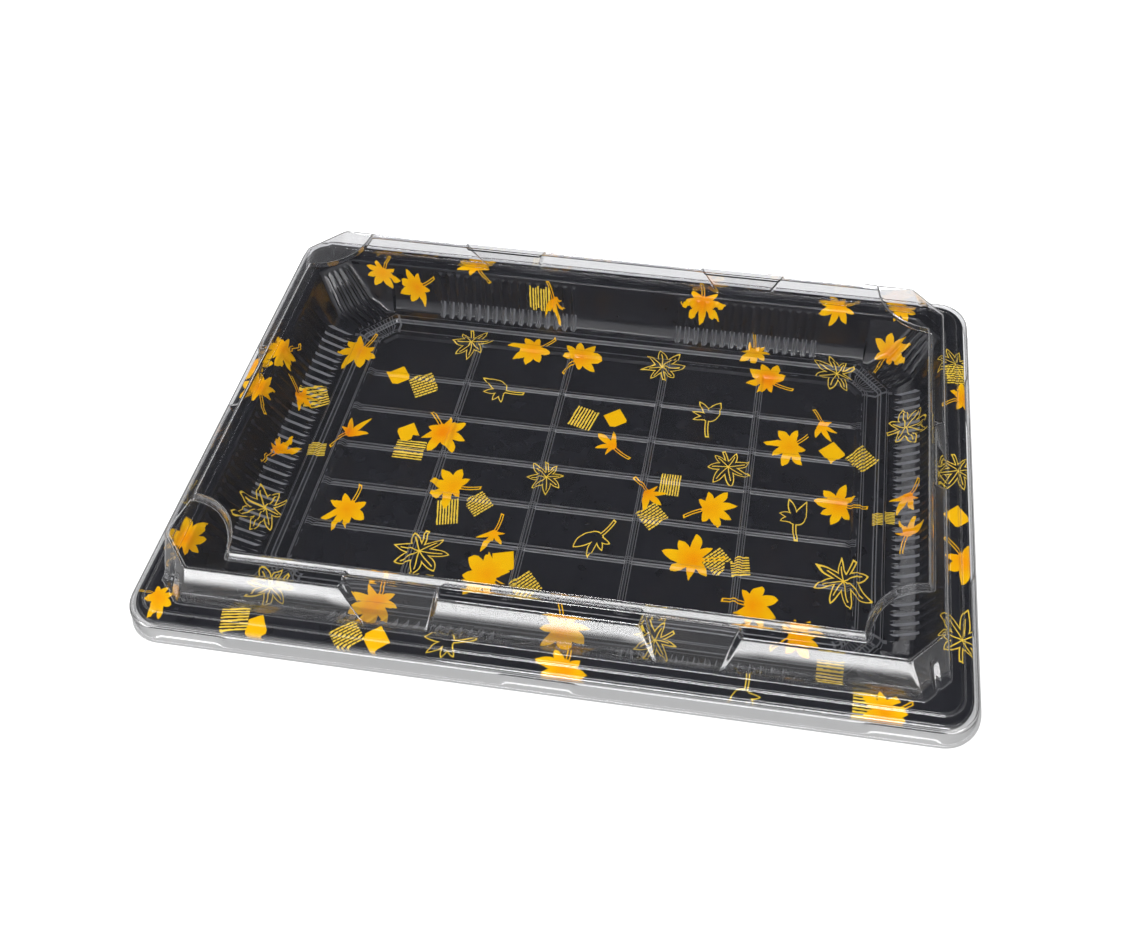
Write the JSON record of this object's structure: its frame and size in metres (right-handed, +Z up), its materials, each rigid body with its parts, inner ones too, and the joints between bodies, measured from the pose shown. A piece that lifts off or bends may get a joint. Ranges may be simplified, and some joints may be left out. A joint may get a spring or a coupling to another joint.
{
  "type": "takeaway sushi tray",
  "caption": "Shallow black formed plastic food tray with a gridded floor, gold leaf print and a clear clip-on domed lid, shut and empty.",
  "frame": {"origin": "centre of the tray's flat underside", "axes": "+X along the tray's long side to the viewer's right, +Y to the back long side, +Z up"},
  "size_m": [0.374, 0.245, 0.0571],
  "materials": {
    "tray_plastic": "glossy black with gold print",
    "lid_plastic": "clear and glossy"
  },
  "bodies": {
    "root": {"tray": "tray_plastic", "lid": "lid_plastic"}
  },
  "joints": []
}
